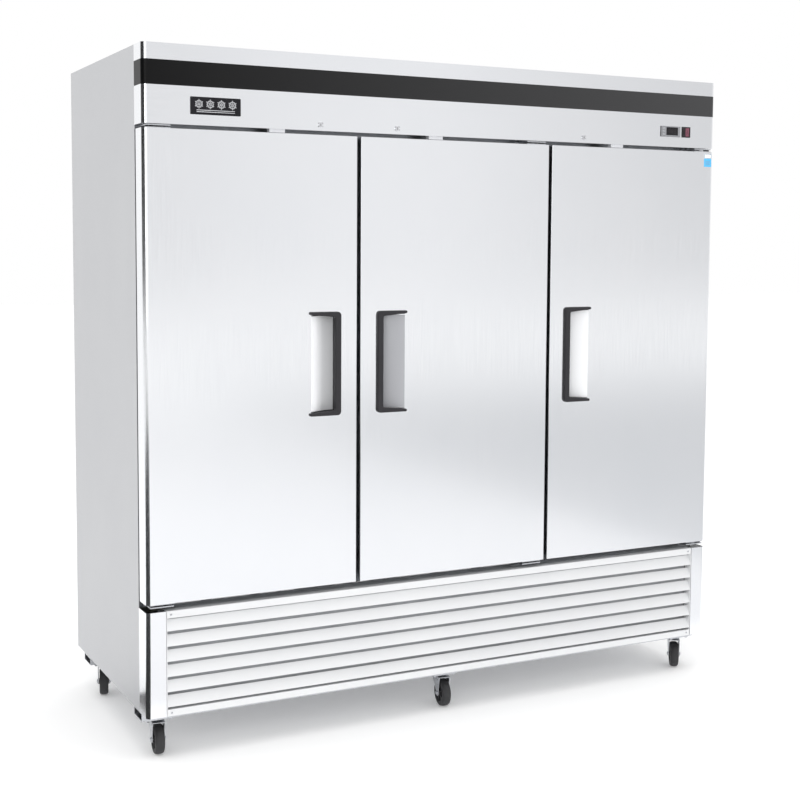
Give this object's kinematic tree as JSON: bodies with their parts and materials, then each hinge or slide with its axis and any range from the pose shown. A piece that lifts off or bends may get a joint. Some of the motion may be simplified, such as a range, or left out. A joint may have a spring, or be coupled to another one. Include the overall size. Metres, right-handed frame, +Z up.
{
  "type": "reach in refrigerator",
  "caption": "Upright reach-in refrigerator with side-by-side solid doors, recessed handles, header controls, a louvred base grille and swivel casters.",
  "frame": {"origin": "on the floor, under the middle of the whole object's box", "axes": "+X to the right as a user faces the doors, +Y from the doors to the back, +Z up"},
  "size_m": [2.08, 0.84, 2.11],
  "materials": {
    "stainless": "satin",
    "cabinet_sheet": "matte",
    "face_steel": "satin",
    "trim_black": "gloss",
    "handle_black": "matte",
    "controller_grey": "matte",
    "key_grey": "satin",
    "rocker_red": "gloss",
    "lock_chrome": "polished",
    "switch_grey": "matte",
    "zinc": "satin",
    "wheel_black": "matte",
    "gasket_grey": "matte",
    "foam": "matte",
    "door_liner": "satin",
    "liner_aluminium": "satin",
    "shelf_white": "gloss",
    "support_steel": "satin",
    "cover_white": "satin",
    "coil_aluminium": "satin",
    "fan_black": "matte",
    "machine_black": "satin",
    "light_white": "satin"
  },
  "bodies": {
    "cabinet": {"side_panels": "cabinet_sheet", "back_panel": "cabinet_sheet", "top_panel": "cabinet_sheet", "insulation_slabs": "foam", "inner_liner": "liner_aluminium", "face_frame": "face_steel", "header_fascia": "stainless", "header_trim": "trim_black", "controller_case": "controller_grey", "switch_bezel": "handle_black", "lock_bodies": "lock_chrome", "door_switches": "switch_grey", "hinge_brackets": "zinc", "corner_posts": "stainless", "front_grille": "stainless", "base_frame": "zinc", "caster_plates": "zinc", "shelves": "shelf_white", "shelf_supports": "support_steel", "interior_lights": "light_white", "evaporator_cover": "cover_white", "evaporator_coil": "coil_aluminium", "condensing_unit": "machine_black"},
    "left_door": {"door_skin_left": "stainless", "door_inner_panel_left": "door_liner", "door_gasket_left": "gasket_grey", "door_handle_left": "handle_black", "door_hinge_plates_left": "zinc"},
    "middle_door": {"door_skin_middle": "stainless", "door_inner_panel_middle": "door_liner", "door_gasket_middle": "gasket_grey", "door_handle_middle": "handle_black", "door_hinge_plates_middle": "zinc"},
    "right_door": {"door_skin_right": "stainless", "door_inner_panel_right": "door_liner", "door_gasket_right": "gasket_grey", "door_handle_right": "handle_black", "door_hinge_plates_right": "zinc"},
    "left_lock_plug": {"lock_plug_left": "lock_chrome"},
    "middle_lock_plug": {"lock_plug_middle": "lock_chrome"},
    "right_lock_plug": {"lock_plug_right": "lock_chrome"},
    "up_button": {"controller_button_up": "key_grey"},
    "set_button": {"controller_button_set": "key_grey"},
    "down_button": {"controller_button_down": "key_grey"},
    "rocker": {"power_rocker": "rocker_red"},
    "front_left_fork": {"caster_fork_front_left": "zinc"},
    "front_left_wheel": {"caster_wheel_front_left": "wheel_black"},
    "front_middle_fork": {"caster_fork_front_middle": "zinc"},
    "front_middle_wheel": {"caster_wheel_front_middle": "wheel_black"},
    "front_right_fork": {"caster_fork_front_right": "zinc"},
    "front_right_wheel": {"caster_wheel_front_right": "wheel_black"},
    "rear_left_fork": {"caster_fork_rear_left": "zinc"},
    "rear_left_wheel": {"caster_wheel_rear_left": "wheel_black"},
    "rear_middle_fork": {"caster_fork_rear_middle": "zinc"},
    "rear_middle_wheel": {"caster_wheel_rear_middle": "wheel_black"},
    "rear_right_fork": {"caster_fork_rear_right": "zinc"},
    "rear_right_wheel": {"caster_wheel_rear_right": "wheel_black"},
    "left_evaporator_fan": {"evaporator_fan_left": "fan_black"},
    "right_evaporator_fan": {"evaporator_fan_right": "fan_black"},
    "condenser_fan": {"condenser_fan": "fan_black"}
  },
  "joints": [
    {"name": "left_door_hinge", "type": "hinge", "parent": "cabinet", "child": "left_door", "pos_m": [-1.018, -0.394, 1.1715], "axis": [0, 0, -1], "range_deg": [0, 110], "stiffness_Nm_per_rad": 2, "springref_deg": -17.19},
    {"name": "middle_door_hinge", "type": "hinge", "parent": "cabinet", "child": "middle_door", "pos_m": [0.324, -0.394, 1.1715], "axis": [0, 0, 1], "range_deg": [0, 110], "stiffness_Nm_per_rad": 2, "springref_deg": -17.19},
    {"name": "right_door_hinge", "type": "hinge", "parent": "cabinet", "child": "right_door", "pos_m": [1.018, -0.394, 1.1715], "axis": [0, 0, 1], "range_deg": [0, 110], "stiffness_Nm_per_rad": 2, "springref_deg": -17.19},
    {"name": "left_lock_turn", "type": "hinge", "parent": "cabinet", "child": "left_lock_plug", "pos_m": [-0.483, -0.41, 1.898], "axis": [0, 1, 0], "range_deg": [0, 90]},
    {"name": "middle_lock_turn", "type": "hinge", "parent": "cabinet", "child": "middle_lock_plug", "pos_m": [-0.221, -0.41, 1.898], "axis": [0, 1, 0], "range_deg": [0, 90]},
    {"name": "right_lock_turn", "type": "hinge", "parent": "cabinet", "child": "right_lock_plug", "pos_m": [0.483, -0.41, 1.898], "axis": [0, 1, 0], "range_deg": [0, 90]},
    {"name": "up_button_press", "type": "slide", "parent": "cabinet", "child": "up_button", "axis": [0, 1, 0], "range_m": [0, 0.0008], "stiffness_N_per_m": 400},
    {"name": "set_button_press", "type": "slide", "parent": "cabinet", "child": "set_button", "axis": [0, 1, 0], "range_m": [0, 0.0008], "stiffness_N_per_m": 400},
    {"name": "down_button_press", "type": "slide", "parent": "cabinet", "child": "down_button", "axis": [0, 1, 0], "range_m": [0, 0.0008], "stiffness_N_per_m": 400},
    {"name": "power_rocker_tip", "type": "hinge", "parent": "cabinet", "child": "rocker", "pos_m": [0.9135, -0.402, 1.933], "axis": [0, 0, 1], "range_deg": [0, 16]},
    {"name": "front_left_swivel", "type": "hinge", "parent": "cabinet", "child": "front_left_fork", "pos_m": [-0.984, -0.313, 0.1007], "axis": [0, 0, 1], "continuous": true},
    {"name": "front_left_roll", "type": "hinge", "parent": "front_left_fork", "child": "front_left_wheel", "pos_m": [-0.98682, -0.33985, 0.045], "axis": [0.9945, -0.1045, 0], "continuous": true},
    {"name": "front_middle_swivel", "type": "hinge", "parent": "cabinet", "child": "front_middle_fork", "pos_m": [0, -0.313, 0.1007], "axis": [0, 0, 1], "continuous": true},
    {"name": "front_middle_roll", "type": "hinge", "parent": "front_middle_fork", "child": "front_middle_wheel", "pos_m": [-0.00329, -0.3398, 0.045], "axis": [0.9925, -0.1219, 0], "continuous": true},
    {"name": "front_right_swivel", "type": "hinge", "parent": "cabinet", "child": "front_right_fork", "pos_m": [0.984, -0.313, 0.1007], "axis": [0, 0, 1], "continuous": true},
    {"name": "front_right_roll", "type": "hinge", "parent": "front_right_fork", "child": "front_right_wheel", "pos_m": [0.9693, -0.33564, 0.045], "axis": [0.8387, -0.5446, 0], "continuous": true},
    {"name": "rear_left_swivel", "type": "hinge", "parent": "cabinet", "child": "rear_left_fork", "pos_m": [-0.984, 0.29, 0.1007], "axis": [0, 0, 1], "continuous": true},
    {"name": "rear_left_roll", "type": "hinge", "parent": "rear_left_fork", "child": "rear_left_wheel", "pos_m": [-0.99099, 0.26392, 0.045], "axis": [0.9659, -0.2588, 0], "continuous": true},
    {"name": "rear_middle_swivel", "type": "hinge", "parent": "cabinet", "child": "rear_middle_fork", "pos_m": [0, 0.29, 0.1007], "axis": [0, 0, 1], "continuous": true},
    {"name": "rear_middle_roll", "type": "hinge", "parent": "rear_middle_fork", "child": "rear_middle_wheel", "pos_m": [-0.00515, 0.2635, 0.045], "axis": [0.9816, -0.1908, 0], "continuous": true},
    {"name": "rear_right_swivel", "type": "hinge", "parent": "cabinet", "child": "rear_right_fork", "pos_m": [0.984, 0.29, 0.1007], "axis": [0, 0, 1], "continuous": true},
    {"name": "rear_right_roll", "type": "hinge", "parent": "rear_right_fork", "child": "rear_right_wheel", "pos_m": [0.97432, 0.26479, 0.045], "axis": [0.9336, -0.3584, 0], "continuous": true},
    {"name": "left_evaporator_fan_spin", "type": "hinge", "parent": "cabinet", "child": "left_evaporator_fan", "pos_m": [-0.3, -0.1165, 1.8592], "axis": [0, 0, 1], "continuous": true},
    {"name": "right_evaporator_fan_spin", "type": "hinge", "parent": "cabinet", "child": "right_evaporator_fan", "pos_m": [0.3, -0.1165, 1.8592], "axis": [0, 0, 1], "continuous": true},
    {"name": "condenser_fan_spin", "type": "hinge", "parent": "cabinet", "child": "condenser_fan", "pos_m": [0.09, -0.1298, 0.273], "axis": [0, 1, 0], "continuous": true}
  ]
}
